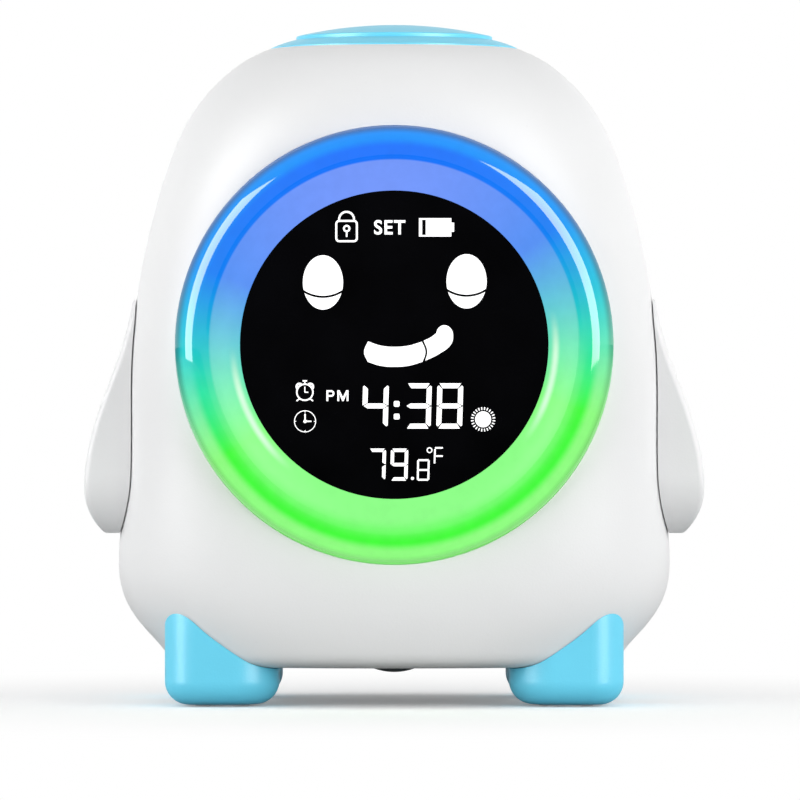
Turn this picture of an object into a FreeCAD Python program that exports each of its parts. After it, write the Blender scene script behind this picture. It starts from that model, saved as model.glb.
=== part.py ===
import FreeCAD, Part
import math
import os

os.makedirs("parts", exist_ok=True)

Vector = FreeCAD.Vector
right = Vector(1, 0, 0)
back = Vector(0, 1, 0)
up = Vector(0, 0, 1)

# All sizes are in millimetres. The front faces -Y, the object stands on the plane z = 0,
# and the plane x = 0 is its middle. A depth is a distance in front of the plane y = 0.

# White body: height, half width, front depth, back depth and squareness of each control row
body_floor = 7.6
crown_plane = 130.2
body_rows = [
    (body_floor, 36.0, 28.0, 28.0, 2.6),
    (body_floor, 45.0, 35.0, 35.5, 2.6),
    (10.5, 44.7, 36.5, 37.0, 2.8),
    (21.0, 57.5, 40.0, 42.5, 3.0),
    (45.0, 52.5, 39.5, 42.5, 3.6),
    (70.0, 53.5, 41.0, 43.0, 4.0),
    (95.0, 49.0, 40.0, 41.5, 3.6),
    (crown_plane - 14.2, 42.5, 37.5, 37.5, 2.6),
    (crown_plane - 4.7, 34.0, 32.5, 32.5, 2.1),
    (crown_plane + 0.4, 26.4, 26.4, 26.4, 2.0),
    (crown_plane + 3.2, 14.0, 14.0, 14.0, 2.0),
]
plan_columns = 24
wall = 2.2
rib_inset = 0.8
split_y = 12.0
lip_height = 2.0
lip_thickness = 1.2
lip_clearance = 0.1

# Light ring and display in the front. An inset is how much less a radius is than the one that it names.
dial_height = 71.0
ring_outer_radius = 42.7
ring_edge_depth = 38.8
ring_shoulder_inset = 2.5
ring_shoulder_depth = 42.6
ring_crest_inset = 7.0
ring_crest_depth = 43.4
ring_cone_bulge = 0.3
ring_lip_depth = 40.9
ring_wall = 1.8
bore_clearance = 0.15
window_inset = 12.7
window_front_depth = 40.6
window_thickness = 1.6
cup_wall = 1.2
cup_floor = 1.6
cup_clearance = 0.3
plate_front_depth = 32.0
plate_thickness = 1.5
plate_clearance = 0.2
plate_hole_radius = 8.0
ledge_thickness = 2.0
ledge_inner_inset = 6.7
collar_thickness = 1.8
led_count = 24
led_size = 3.0
led_height = 0.8
led_board_thickness = 1.2
led_board_clearance = 0.25
display_board_thickness = 1.2
display_panel_thickness = 3.6
display_clearance = 0.25
ledge_screw_inset = 3.7
cup_screw_inset = 6.0

# Blue cap and button on the crown
crown_hole_radius = 21.5
neck_height = 3.0
cap_radius = 24.6
cap_edge_height = 0.25
cap_lip_height = 1.85
cap_skirt_bulge = 0.15
cap_spigot_clearance = 0.2
cap_bead = 1.0
cap_bead_height = 1.2
cap_bead_gap = 0.2
cap_bead_root = 0.5
cap_floor_drop = 5.0
cap_floor_thickness = 1.5
cap_wire_hole_radius = 3.0
button_radius = 19.6
button_clearance = 0.25
button_edge_rise = 2.6
button_dome_rise = 2.3
button_skirt = 2.9
button_wall = 1.6
button_rim_round = 0.35

# Board and switch under the button
top_board_thickness = 1.2
top_board_radius = 8.0
top_switch_height = 2.7
top_plunger_proud = 0.8

# Wings on the sides of the body
wing_top_x = 51.8
wing_top_z = 80.5
wing_middle_x = 57.6
wing_middle_z = 60.2
wing_outer_x = 61.2
wing_outer_z = 44.0
wing_bottom_z = 33.8
wing_corner = 6.0
# points round the lower corner, as shares of its size: in from the outer side, up from the bottom
wing_corner_points = ((0.06, 1.0), (0.4, 0.28), (1.0, -0.4))
wing_inner_x = 44.0
wing_front_y = -20.5
wing_back_y = 11.0
wing_tip_y = -12.5
wing_tip_radius = 7.0
wing_heel_radius = 11.0
wing_rim = 1.2
wing_gap = 0.3
wing_peg_radius = 3.0
wing_peg_clearance = 0.1
wing_peg_end_x = 50.4
wing_peg_length = 4.0
wing_peg_y = -3.0
wing_peg_heights = (45.0, 63.0)

# Blue feet, each with a pad below and a screw above
foot_inner_x = 22.6
foot_outer_x = 45.1
foot_front_y = 31.2
foot_length = 21.2
foot_outer_corner = 6.5
foot_inner_corner = 9.0
foot_sole_round = 4.6
foot_top_round = 1.8
foot_top = 20.0
foot_gap = 0.15
sole_height = 0.4
pad_radius = 5.4
pad_thickness = 1.0
foot_seat_radius = 4.6
foot_seat_height = 10.6
foot_screw_length = 8.0

# Rubber plug in the floor of the body
plug_y = -10.0
plug_radius = 5.6
plug_height = 1.4
plug_stem_radius = 2.5
plug_clearance = 0.05

# Flat panel sunk into the back, with the keys, the socket, the switch and the speaker grille
panel_y = 40.2
panel_thickness = 2.0
panel_half_width = 24.0
panel_bottom = 24.0
panel_top = 89.0
panel_corner = 9.0
key_names = ("alarm_key", "set_key", "light_key", "down_key", "sound_key", "up_key")
key_columns = (-13.5, 0.0, 13.5)
key_rows = (81.0, 69.0)
key_radius = 4.5
key_clearance = 0.2
key_proud = 1.4
key_flange_radius = 5.3
key_flange = 0.9
key_round = 0.6
grille_z = 37.5
grille_pitch = 3.6
grille_hole_radius = 0.9
grille_radius = 10.5

# Main board behind the panel
board_y = 31.0
board_thickness = 1.6
board_half_width = 22.5
board_bottom = 52.5
board_top = 88.5
post_radius = 2.6
post_x = 20.0
post_heights = (55.5, 86.0)
switch_size = 6.0
switch_height = 3.5
plunger_radius = 1.75
plunger_clearance = 0.1
plunger_root = 0.8
# chips on the board: x, z, width, height and thickness
chips = [
    (-8.0, 74.0, 10.0, 10.0, 1.2),
    (9.0, 77.0, 6.0, 5.0, 1.0),
    (9.0, 66.0, 8.0, 3.4, 2.6),
    (-10.0, 60.0, 5.0, 5.0, 3.0),
    (1.0, 59.0, 3.2, 1.6, 1.0),
    (2.0, 83.0, 3.2, 1.6, 1.0),
]

# Socket and slide switch
socket_x = 9.5
socket_z = 58.0
socket_width = 9.0
socket_height = 3.3
socket_wall = 0.35
socket_setback = 0.2
socket_depth = 6.5
socket_tongue_width = 6.6
socket_tongue_thickness = 0.7
socket_tongue_setback = 0.8
socket_clearance = 0.3
slider_x = -9.5
slider_z = 58.0
slider_width = 2.4
slider_height = 2.2
slider_travel = 2.4
slider_proud = 1.0
slider_clearance = 0.15
slider_foot_gap = 0.2
housing_width = 9.0
housing_height = 4.4
housing_depth = 4.2
housing_floor = 1.6

# Speaker
speaker_radius = 13.5
speaker_flange = 1.0
speaker_basket_radius = 12.0
speaker_basket_depth = 4.0
speaker_wall = 0.8
speaker_magnet_radius = 7.5
speaker_magnet_height = 4.5
speaker_cone_thickness = 0.4
speaker_coil_radius = 4.0
speaker_roll_width = 1.5
speaker_coil_lift = 1.0
speaker_dome_lift = 2.0
speaker_rim_clearance = 0.2
speaker_rim_wall = 1.5
speaker_rim_height = 4.0

# Battery
cell_radius = 9.0
cell_length = 65.0
cell_round = 0.8
cell_y = -2.0
cradle_half_width = 11.0
cradle_end_wall = 2.0
cradle_floor = 1.5
cradle_height = 8.2
cradle_clearance = 0.1
cradle_lift = 0.15

# Case screws, in wells that open at the back
case_screw_places = ((38.5, 34.0), (29.5, 105.5))
case_boss_radius = 3.6
case_well_radius = 3.1
case_well_floor_y = 20.0
case_screw_length = 24.0

# Screws: shank radius, head radius, head height and the clearance around a shank
screw_radius = 1.5
screw_head_radius = 2.7
screw_head_height = 1.6
small_screw_radius = 1.1
small_screw_head_radius = 2.0
small_screw_head_height = 1.3
small_screw_length = 5.0
wide_screw_head_radius = 4.0
screw_clearance = 0.05

# How far a cutting form runs past what it cuts, and a reach beyond the whole object
cut_spare = 1.0
far = 100.0

# Heights and depths that follow from the sizes above
ring_shoulder_radius = ring_outer_radius - ring_shoulder_inset
ring_crest_radius = ring_outer_radius - ring_crest_inset
window_radius = ring_outer_radius - window_inset
ledge_inner_radius = ring_outer_radius - ledge_inner_inset
ledge_screw_radius = ring_outer_radius - ledge_screw_inset
cup_screw_radius = window_radius - cup_screw_inset
cap_floor_height = crown_plane - cap_floor_drop
button_edge_height = crown_plane + button_edge_rise
button_crown_height = button_edge_height + button_dome_rise
plate_back_depth = plate_front_depth - plate_thickness
ledge_back_depth = plate_back_depth - ledge_thickness
bore_radius = ring_outer_radius + bore_clearance
ring_inner_radius = window_radius + bore_clearance
cup_front_depth = window_front_depth - window_thickness
cup_radius = ring_inner_radius - cup_clearance
cup_inner_radius = cup_radius - cup_wall
led_board_outer = ring_outer_radius - ring_wall - led_board_clearance
led_board_inner = ring_inner_radius + ring_wall + led_board_clearance
led_middle_radius = (led_board_outer + led_board_inner) / 2
cap_bore_radius = button_radius + button_clearance
cap_spigot_radius = crown_hole_radius - cap_spigot_clearance
cap_floor_top = cap_floor_height + cap_floor_thickness
panel_inner_y = panel_y - panel_thickness
board_back_y = board_y + board_thickness
switch_top_y = board_back_y + switch_height
key_flange_y = panel_inner_y - key_clearance - key_flange
floor_top = body_floor + wall
top_board_top = cap_floor_top + top_board_thickness
top_switch_top = top_board_top + top_switch_height
top_plunger_top = top_switch_top + top_plunger_proud
small_hole_radius = small_screw_radius + screw_clearance
hole_radius = screw_radius + screw_clearance


# Basic solids

def rod(radius, start, direction, length):
    return Part.makeCylinder(radius, length, start, direction)


def block(x_low, x_high, y_low, y_high, z_low, z_high):
    corner = Vector(x_low, y_low, z_low)
    return Part.makeBox(x_high - x_low, y_high - y_low, z_high - z_low, corner)


def dial_rod(radius, front_depth, back_depth):
    return rod(radius, Vector(0, -front_depth, dial_height), back, front_depth - back_depth)


def dial_tube(outer, inner, front_depth, back_depth):
    return dial_rod(outer, front_depth, back_depth).cut(dial_rod(inner, front_depth, back_depth))


def dial_point(radius, depth):
    return Vector(radius, -depth, dial_height)


def mirrored(shape):
    return shape.mirror(Vector(0, 0, 0), right)


def fused(shapes):
    return shapes[0].multiFuse(shapes[1:]).removeSplitter()


def group(shapes):
    return Part.makeCompound(shapes)


def slot_block(width, height, x, z, y_low, y_high):
    # a block along Y whose two ends in X are half round
    reach = (width - height) / 2
    middle = block(x - reach, x + reach, y_low, y_high, z - height / 2, z + height / 2)
    ends = [rod(height / 2, Vector(x + side * reach, y_low, z), back, y_high - y_low) for side in (-1, 1)]
    return fused([middle] + ends)


def screw(tip_direction, seat, shank, head_radius, head_height, length):
    # the seat is the point where the underside of the head rests
    head = rod(head_radius, seat - tip_direction * head_height, tip_direction, head_height)
    return head.fuse(rod(shank, seat, tip_direction, length)).removeSplitter()


# White body

def plan_point(row, column):
    height, half_width, front, rear, squareness = row
    angle = math.pi / 2 + 2 * math.pi * column / plan_columns
    power = 2 / squareness
    # the control points stand outside the curve, so that the curve reaches the sizes in the row
    neighbour = math.cos(2 * math.pi / plan_columns) ** power
    reach = 6 / (4 + 2 * neighbour)
    across = math.copysign(abs(math.cos(angle)) ** power, math.cos(angle))
    along = math.copysign(abs(math.sin(angle)) ** power, math.sin(angle))
    depth = rear if along > 0 else front
    return Vector(half_width * across * reach, depth * along * reach, height)


def body_net(inset):
    net = [[plan_point(row, column) for row in body_rows] for column in range(plan_columns)]
    moved = []
    last = len(body_rows) - 1
    for column in range(plan_columns):
        before = net[column - 1]
        after = net[(column + 1) % plan_columns]
        line = []
        for place, point in enumerate(net[column]):
            if place == 0:
                normal = -up
            elif place == last:
                normal = up
            else:
                around = after[place] - before[place]
                upward = net[column][place + 1] - net[column][place - 1]
                normal = around.cross(upward).normalize()
            line.append(point - normal * inset)
        moved.append(line)
    return moved


def body_solid(inset):
    degree = 3
    rows = len(body_rows)
    surface = Part.BSplineSurface()
    around_knots = list(range(plan_columns + 1))
    around_counts = [1] * (plan_columns + 1)
    upward_knots = list(range(rows - degree + 1))
    upward_counts = [degree + 1] + [1] * (rows - degree - 1) + [degree + 1]
    surface.buildFromPolesMultsKnots(
        body_net(inset), around_counts, upward_counts, around_knots, upward_knots,
        True, False, degree, degree)
    skin = surface.toShape()
    ends = [surface.vIso(knot).toShape() for knot in (upward_knots[0], upward_knots[-1])]
    caps = [Part.Face(Part.Wire([edge])) for edge in ends]
    shell = Part.Shell([skin] + caps)
    shell.sewShape()
    solid = Part.Solid(shell)
    if solid.Volume < 0:
        solid.reverse()
    return solid


outer_body = body_solid(0)
inner_body = body_solid(wall)
rib_body = body_solid(rib_inset)


def case_boss(y_low, y_high):
    bosses = []
    for x, z in case_screw_places:
        for side in (-1, 1):
            bosses.append(rod(case_boss_radius, Vector(side * x, y_low, z), back, y_high - y_low))
    return bosses


def case_drill(radius, y_low, y_high):
    holes = []
    for x, z in case_screw_places:
        for side in (-1, 1):
            holes.append(rod(radius, Vector(side * x, y_low, z), back, y_high - y_low))
    return holes


def foot_places():
    x = (foot_inner_x + foot_outer_x) / 2
    y = foot_front_y - foot_length / 2
    return [(-x, -y), (x, -y), (-x, y), (x, y)]


def foot_seat_solids(side):
    places = [place for place in foot_places() if place[1] * side > 0]
    return [rod(foot_seat_radius, Vector(x, y, body_floor), up, foot_seat_height - body_floor)
            for x, y in places]


def foot_holes():
    length = foot_seat_height + cut_spare
    return [rod(hole_radius, Vector(x, y, 0), up, length) for x, y in foot_places()]


def neck():
    bottom = crown_plane - neck_height
    return rod(cap_radius, Vector(0, 0, bottom), up, neck_height)


def neck_room():
    # the space that the neck takes, with the lip's clearance round it
    bottom = crown_plane - neck_height - lip_clearance
    return rod(cap_radius + lip_clearance, Vector(0, 0, bottom), up, far)


def crown_cut():
    above = block(-far, far, -far, far, crown_plane, crown_plane + far)
    hole = rod(crown_hole_radius, Vector(0, 0, crown_plane - far / 4), up, far / 4)
    return above.fuse(hole)


def half_shell(y_low, y_high):
    slab = block(-far, far, y_low, y_high, -far, 2 * far)
    return outer_body.cut(inner_body).common(slab)


def ribs(shapes, y_low, y_high):
    slab = block(-far, far, y_low, y_high, -far, 2 * far)
    return fused(shapes).common(rib_body).common(slab)


def front_shell():
    ledge = dial_tube(far, ledge_inner_radius, plate_back_depth, ledge_back_depth)
    collar = dial_tube(bore_radius + collar_thickness, bore_radius, far / 2, plate_back_depth)
    inside = [ledge, collar, neck()] + case_boss(-far / 2, split_y) + foot_seat_solids(-1)
    shape = half_shell(-far, split_y).fuse(ribs(inside, -far, split_y))
    cuts = [dial_rod(bore_radius, far, plate_back_depth), crown_cut()]
    cuts += foot_holes()
    cuts += case_drill(hole_radius, case_well_floor_y - case_screw_length - cut_spare, split_y)
    cuts.append(rod(plug_stem_radius + plug_clearance, Vector(0, plug_y, 0), up, floor_top + cut_spare))
    for height in wing_peg_heights:
        start = Vector(-far, wing_peg_y, height)
        cuts.append(rod(wing_peg_radius + wing_peg_clearance, start, right, 2 * far))
    for x, z in dial_screw_places(ledge_screw_radius):
        start = Vector(x, -plate_front_depth, z)
        cuts.append(rod(small_hole_radius, start, back, ledge_thickness * 2))
    for cut in cuts:
        shape = shape.cut(cut)
    return shape.removeSplitter()


def panel_blank(y_low, y_high, grow):
    low = panel_bottom - grow
    high = panel_top + grow
    half = panel_half_width + grow
    plate = block(-half, half, y_low, y_high, low, high)
    edges = [edge for edge in plate.Edges if abs(edge.BoundBox.YLength - (y_high - y_low)) < 0.001]
    return plate.makeFillet(panel_corner + grow, edges)


def grille_holes():
    holes = []
    steps = int(grille_radius / grille_pitch) + 1
    for row in range(-steps, steps + 1):
        z = row * grille_pitch * math.sqrt(3) / 2
        shift = grille_pitch / 2 if row % 2 else 0
        for column in range(-steps - 1, steps + 1):
            x = column * grille_pitch + shift
            if math.hypot(x, z) <= grille_radius:
                start = Vector(x, panel_inner_y - cut_spare, grille_z + z)
                holes.append(rod(grille_hole_radius, start, back, panel_thickness + 2 * cut_spare))
    return holes


def key_places():
    places = [(x, z) for z in key_rows for x in key_columns]
    return dict(zip(key_names, places))


def posts():
    length = panel_inner_y - board_back_y
    return [rod(post_radius, Vector(side * post_x, board_back_y, z), back, length)
            for side in (-1, 1) for z in post_heights]


def rear_shell():
    lip_outer = body_solid(wall + lip_clearance)
    lip_inner = body_solid(wall + lip_clearance + lip_thickness)
    lip_slab = block(-far, far, split_y - lip_height, split_y, -far, 2 * far)
    root_slab = block(-far, far, split_y, split_y + lip_height, -far, 2 * far)
    lip = lip_outer.cut(lip_inner).common(lip_slab).cut(neck_room())
    lip_root = body_solid(wall / 2).cut(lip_inner).common(root_slab)
    backing = panel_blank(panel_inner_y, far, panel_thickness)
    rim_outer = speaker_radius + speaker_rim_clearance + speaker_rim_wall
    rim_start = Vector(0, panel_inner_y - speaker_rim_height, grille_z)
    rim = rod(rim_outer, rim_start, back, speaker_rim_height)
    bosses = case_boss(split_y, far / 2)
    inside = [backing, rim, neck()] + posts() + bosses + foot_seat_solids(1)
    shape = half_shell(split_y, far).fuse([ribs(inside, split_y, far), lip, lip_root])
    speaker_room = rod(speaker_radius + speaker_rim_clearance, rim_start, back, speaker_rim_height)
    cuts = [panel_blank(panel_y, far, 0), crown_cut(), speaker_room]
    cuts += foot_holes() + grille_holes()
    cuts += case_drill(hole_radius, split_y, case_well_floor_y)
    cuts += case_drill(case_well_radius, case_well_floor_y, far)
    for x, z in key_places().values():
        cuts.append(rod(key_radius + key_clearance, Vector(x, panel_inner_y, z), back, far / 4))
    for side in (-1, 1):
        for z in post_heights:
            drill_start = Vector(side * post_x, board_back_y, z)
            cuts.append(rod(small_hole_radius, drill_start, back, small_screw_length))
    cuts.append(slot_block(socket_width + 2 * socket_clearance, socket_height + 2 * socket_clearance,
                           socket_x, socket_z, panel_inner_y, far / 2))
    slot_half = (slider_width + slider_travel) / 2 + slider_clearance
    slot_rise = slider_height / 2 + slider_clearance
    cuts.append(block(slider_x - slot_half, slider_x + slot_half, panel_inner_y, far / 2,
                      slider_z - slot_rise, slider_z + slot_rise))
    for cut in cuts:
        shape = shape.cut(cut)
    return shape.removeSplitter()


# Light ring and display

def dial_screw_places(radius):
    angles = [math.pi / 4 + quarter * math.pi / 2 for quarter in range(4)]
    return [(radius * math.cos(angle), dial_height + radius * math.sin(angle)) for angle in angles]


def ring_line(inset, back_depth):
    # the front of the ring from its outer edge to its inner edge, moved in by the inset
    outer = ring_outer_radius - inset
    inner = ring_inner_radius + inset
    slope = math.sqrt(0.5) * inset
    edge = dial_point(outer, ring_edge_depth)
    shoulder = dial_point(ring_shoulder_radius - slope, ring_shoulder_depth - slope)
    crest = dial_point(ring_crest_radius, ring_crest_depth - inset)
    lip = dial_point(inner, ring_lip_depth - inset)
    across = (lip - crest).normalize()
    cone_middle = (crest + lip) * 0.5 + across.cross(up) * ring_cone_bulge
    outer_back = dial_point(outer, back_depth)
    inner_back = dial_point(inner, back_depth)
    return Part.Wire([
        Part.makeLine(outer_back, edge),
        Part.Arc(edge, shoulder, crest).toShape(),
        Part.Arc(crest, cone_middle, lip).toShape(),
        Part.makeLine(lip, inner_back),
        Part.makeLine(inner_back, outer_back),
    ])


def ring_solid(inset, back_depth):
    face = Part.Face(ring_line(inset, back_depth))
    return face.revolve(Vector(0, 0, dial_height), back, 360)


def light_ring():
    return ring_solid(0, plate_front_depth).cut(ring_solid(ring_wall, plate_front_depth))


def dial_plate():
    outer = bore_radius - plate_clearance
    shape = dial_tube(outer, plate_hole_radius, plate_front_depth, plate_back_depth)
    for radius in (ledge_screw_radius, cup_screw_radius):
        for x, z in dial_screw_places(radius):
            start = Vector(x, -plate_front_depth, z)
            shape = shape.cut(rod(small_hole_radius, start, back, plate_thickness))
    return shape


def led_board():
    front_depth = plate_front_depth + led_board_thickness
    return dial_tube(led_board_outer, led_board_inner, front_depth, plate_front_depth)


def ring_leds():
    leds = []
    front = plate_front_depth + led_board_thickness + led_height
    for place in range(led_count):
        half = led_size / 2
        middle_z = dial_height + led_middle_radius
        chip = block(-half, half, -front, -front + led_height, middle_z - half, middle_z + half)
        chip.rotate(Vector(0, 0, dial_height), back, 360 * place / led_count)
        leds.append(chip)
    return group(leds)


def display_cup():
    shape = dial_rod(cup_radius, cup_front_depth, plate_front_depth)
    shape = shape.cut(dial_rod(cup_inner_radius, cup_front_depth, plate_front_depth + cup_floor))
    shape = shape.cut(dial_rod(plate_hole_radius, cup_front_depth, plate_front_depth))
    for x, z in dial_screw_places(cup_screw_radius):
        start = Vector(x, -plate_front_depth - cup_floor, z)
        shape = shape.cut(rod(small_hole_radius, start, back, cup_floor))
    return shape


def display_board():
    front = plate_front_depth + cup_floor + display_board_thickness
    return dial_rod(cup_inner_radius - display_clearance, front, front - display_board_thickness)


def display_panel():
    behind = plate_front_depth + cup_floor + display_board_thickness
    return dial_rod(cup_inner_radius - display_clearance, behind + display_panel_thickness, behind)


def display_window():
    return dial_rod(window_radius, window_front_depth, cup_front_depth)


def dial_screws():
    screws = []
    rings = [
        (ledge_screw_radius, ledge_back_depth, plate_front_depth),
        (cup_screw_radius, plate_back_depth, plate_front_depth + cup_floor),
    ]
    for radius, seat_depth, tip_depth in rings:
        length = tip_depth - seat_depth - screw_clearance
        for x, z in dial_screw_places(radius):
            screws.append(screw(-back, Vector(x, -seat_depth, z), small_screw_radius,
                                small_screw_head_radius, small_screw_head_height, length))
    return group(screws)


# Blue cap and button

def turned(points, arc_after=None, arc_through=None):
    # a section in the plane y = 0, turned about the Z axis
    edges = []
    for place, (one, other) in enumerate(zip(points, points[1:] + points[:1])):
        if place == arc_after:
            edges.append(Part.Arc(one, arc_through, other).toShape())
        else:
            edges.append(Part.makeLine(one, other))
    return Part.Face(Part.Wire(edges)).revolve(Vector(0, 0, 0), up, 360)


def top_cap():
    lip_top = crown_plane + cap_lip_height
    points = [
        Vector(cap_radius, 0, crown_plane),
        Vector(cap_radius, 0, crown_plane + cap_edge_height),
        Vector(cap_bore_radius, 0, lip_top),
        Vector(cap_bore_radius, 0, cap_floor_top),
        Vector(cap_wire_hole_radius, 0, cap_floor_top),
        Vector(cap_wire_hole_radius, 0, cap_floor_height),
        Vector(cap_spigot_radius, 0, cap_floor_height),
        Vector(cap_spigot_radius, 0, crown_plane),
    ]
    # the skirt runs from the second point to the third, through a point just above its middle
    middle = (points[1] + points[2]) * 0.5 + up * cap_skirt_bulge
    shape = turned(points, 1, middle)
    bead_top = crown_plane - neck_height - cap_bead_gap
    bead = rod(crown_hole_radius + cap_bead, Vector(0, 0, bead_top - cap_bead_height), up, cap_bead_height)
    bead = bead.cut(rod(cap_spigot_radius - cap_bead_root, Vector(0, 0, 0), up, 2 * far))
    return shape.fuse(bead).removeSplitter()


def top_button():
    rise = button_crown_height - button_edge_height
    sphere_radius = (button_radius ** 2 + rise ** 2) / (2 * rise)
    half = button_radius / 2
    middle_height = button_crown_height - sphere_radius + math.sqrt(sphere_radius ** 2 - half ** 2)
    bottom = button_edge_height - button_skirt
    rim = [
        Vector(0, 0, bottom),
        Vector(button_radius, 0, bottom),
        Vector(button_radius, 0, button_edge_height),
        Vector(0, 0, button_crown_height),
    ]
    shape = turned(rim, 2, Vector(half, 0, middle_height))
    inner_radius = button_radius - button_wall
    ceiling = button_edge_height - button_wall / 2
    shape = shape.cut(rod(inner_radius, Vector(0, 0, bottom), up, ceiling - bottom))
    rim_edges = [edge for edge in shape.Edges
                 if abs(edge.BoundBox.ZMax - button_edge_height) < 0.01 and edge.BoundBox.ZLength < 0.01
                 and edge.BoundBox.XMax > button_radius - 0.1]
    shape = shape.makeFillet(button_rim_round, rim_edges)
    stem = rod(plunger_radius, Vector(0, 0, top_plunger_top), up, ceiling - top_plunger_top)
    return shape.fuse(stem).removeSplitter()


def top_board():
    return rod(top_board_radius, Vector(0, 0, cap_floor_top), up, top_board_thickness)


def switch_body(height):
    # stands on z = 0 with its plunger along +Z
    half = switch_size / 2
    shape = block(-half, half, -half, half, 0, height)
    depth = height - plunger_root / 2
    return shape.cut(rod(plunger_radius + plunger_clearance, Vector(0, 0, height - depth), up, depth))


def top_switch():
    shape = switch_body(top_switch_height)
    shape.translate(Vector(0, 0, top_board_top))
    return shape


def top_plunger():
    bottom = top_switch_top - plunger_root
    return rod(plunger_radius, Vector(0, 0, bottom), up, top_plunger_top - bottom)


# Wings

def wing_front_line():
    # the outer side of the wing seen from the front, from its tip round its lower corner
    points = [
        Vector(wing_top_x, 0, wing_top_z),
        Vector(wing_middle_x, 0, wing_middle_z),
        Vector(wing_outer_x, 0, wing_outer_z),
    ]
    for inward, upward in wing_corner_points:
        x = wing_outer_x - inward * wing_corner
        z = wing_bottom_z + upward * wing_corner
        points.append(Vector(x, 0, z))
    curve = Part.BSplineCurve()
    curve.interpolate(points)
    low = Vector(wing_inner_x, 0, points[-1].z)
    high = Vector(wing_inner_x, 0, wing_top_z)
    lines = [Part.makeLine(points[-1], low), Part.makeLine(low, high), Part.makeLine(high, points[0])]
    return Part.Wire([curve.toShape()] + lines)


def right_wing():
    front_form = Part.Face(wing_front_line())
    front_form.translate(Vector(0, wing_front_y - cut_spare, 0))
    slab = front_form.extrude(back * (wing_back_y - wing_front_y + 2 * cut_spare))
    shape = slab.common(wing_side_form())
    outer_face = max(shape.Faces, key=lambda face: face.CenterOfMass.x)
    shape = shape.makeFillet(wing_rim, outer_face.Edges)
    shape = shape.cut(body_solid(-wing_gap))
    for height in wing_peg_heights:
        start = Vector(wing_peg_end_x, wing_peg_y, height)
        shape = shape.fuse(rod(wing_peg_radius, start, right, wing_peg_length))
        shape = shape.cut(rod(small_hole_radius, start, right, small_screw_length))
    return shape.removeSplitter()


def side_arc(centre_y, centre_z, radius, start, end):
    # an arc in the plane x = wing_inner_x, with its angles counted from +Y towards +Z
    points = []
    for angle in (start, (start + end) / 2, end):
        y = centre_y + radius * math.cos(angle)
        z = centre_z + radius * math.sin(angle)
        points.append(Vector(wing_inner_x, y, z))
    return Part.Arc(*points).toShape()


def wing_side_form():
    # the wing seen from the side: a small circle at the tip, two large ones at the heel, and their tangents
    tip_z = wing_top_z - wing_tip_radius
    heel_z = wing_bottom_z + wing_heel_radius
    front_y = wing_front_y + wing_heel_radius
    rear_y = wing_back_y - wing_heel_radius

    def tangent_angle(heel_y, side):
        span = math.hypot(tip_z - heel_z, wing_tip_y - heel_y)
        slope = math.atan2(tip_z - heel_z, wing_tip_y - heel_y)
        return slope + side * math.acos((wing_heel_radius - wing_tip_radius) / span)

    front = tangent_angle(front_y, 1)
    rear = tangent_angle(rear_y, -1)
    arcs = [
        side_arc(wing_tip_y, tip_z, wing_tip_radius, rear, front),
        side_arc(front_y, heel_z, wing_heel_radius, front, math.pi * 1.5),
        side_arc(rear_y, heel_z, wing_heel_radius, -math.pi / 2, rear),
    ]
    edges = []
    for place, arc in enumerate(arcs):
        following = arcs[(place + 1) % len(arcs)]
        edges.append(arc)
        edges.append(Part.makeLine(arc.lastVertex().Point, following.firstVertex().Point))
    return Part.Face(Part.Wire(edges)).extrude(right * (wing_outer_x - wing_inner_x + cut_spare))


def wing_screws():
    screws = []
    for height in wing_peg_heights:
        seat = Vector(wing_peg_end_x, wing_peg_y, height)
        one = screw(right, seat, small_screw_radius, wide_screw_head_radius,
                    small_screw_head_height, small_screw_length)
        screws += [one, mirrored(one)]
    return group(screws)


# Feet, pads, foot screws and plug

def foot(x, y):
    half_x = (foot_outer_x - foot_inner_x) / 2
    half_y = foot_length / 2
    shape = block(x - half_x, x + half_x, y - half_y, y + half_y, sole_height, foot_top)
    standing = [edge for edge in shape.Edges if edge.BoundBox.ZLength > foot_top / 2]
    outer = [edge for edge in standing if abs(edge.BoundBox.XMin) > abs(x)]
    shape = shape.makeFillet(foot_outer_corner, outer)
    standing = [edge for edge in shape.Edges if edge.BoundBox.ZLength > foot_top / 2]
    inner = [edge for edge in standing if abs(edge.BoundBox.XMin) < foot_inner_x + 0.01]
    shape = shape.makeFillet(foot_inner_corner, inner)
    low = [edge for edge in shape.Edges if edge.BoundBox.ZMax < sole_height + 0.01]
    shape = shape.makeFillet(foot_sole_round, low)
    high = [edge for edge in shape.Edges if edge.BoundBox.ZMin > foot_top - 0.01]
    shape = shape.makeFillet(foot_top_round, high)
    shape = shape.cut(body_solid(-foot_gap))
    shape = shape.cut(rod(pad_radius, Vector(x, y, 0), up, pad_thickness))
    tip = foot_seat_height - foot_screw_length
    return shape.cut(rod(hole_radius, Vector(x, y, tip), up, far))


def foot_pads():
    return group([rod(pad_radius, Vector(x, y, 0), up, pad_thickness) for x, y in foot_places()])


def foot_screws():
    return group([screw(-up, Vector(x, y, foot_seat_height), screw_radius, screw_head_radius,
                        screw_head_height, foot_screw_length) for x, y in foot_places()])


def floor_plug():
    sphere_radius = (plug_radius ** 2 + plug_height ** 2) / (2 * plug_height)
    centre = Vector(0, plug_y, body_floor - plug_height + sphere_radius)
    dome = Part.makeSphere(sphere_radius, centre)
    below = block(-far, far, -far, far, -far, body_floor)
    stem = rod(plug_stem_radius, Vector(0, plug_y, body_floor), up, wall)
    return dome.common(below).fuse(stem).removeSplitter()


# Keys, boards and what they carry

def to_back(shape, x, y, z):
    # turns a shape that stands along +Z so that it points along +Y
    turned_shape = shape.copy()
    turned_shape.rotate(Vector(0, 0, 0), right, -90)
    turned_shape.translate(Vector(x, y, z))
    return turned_shape


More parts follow.
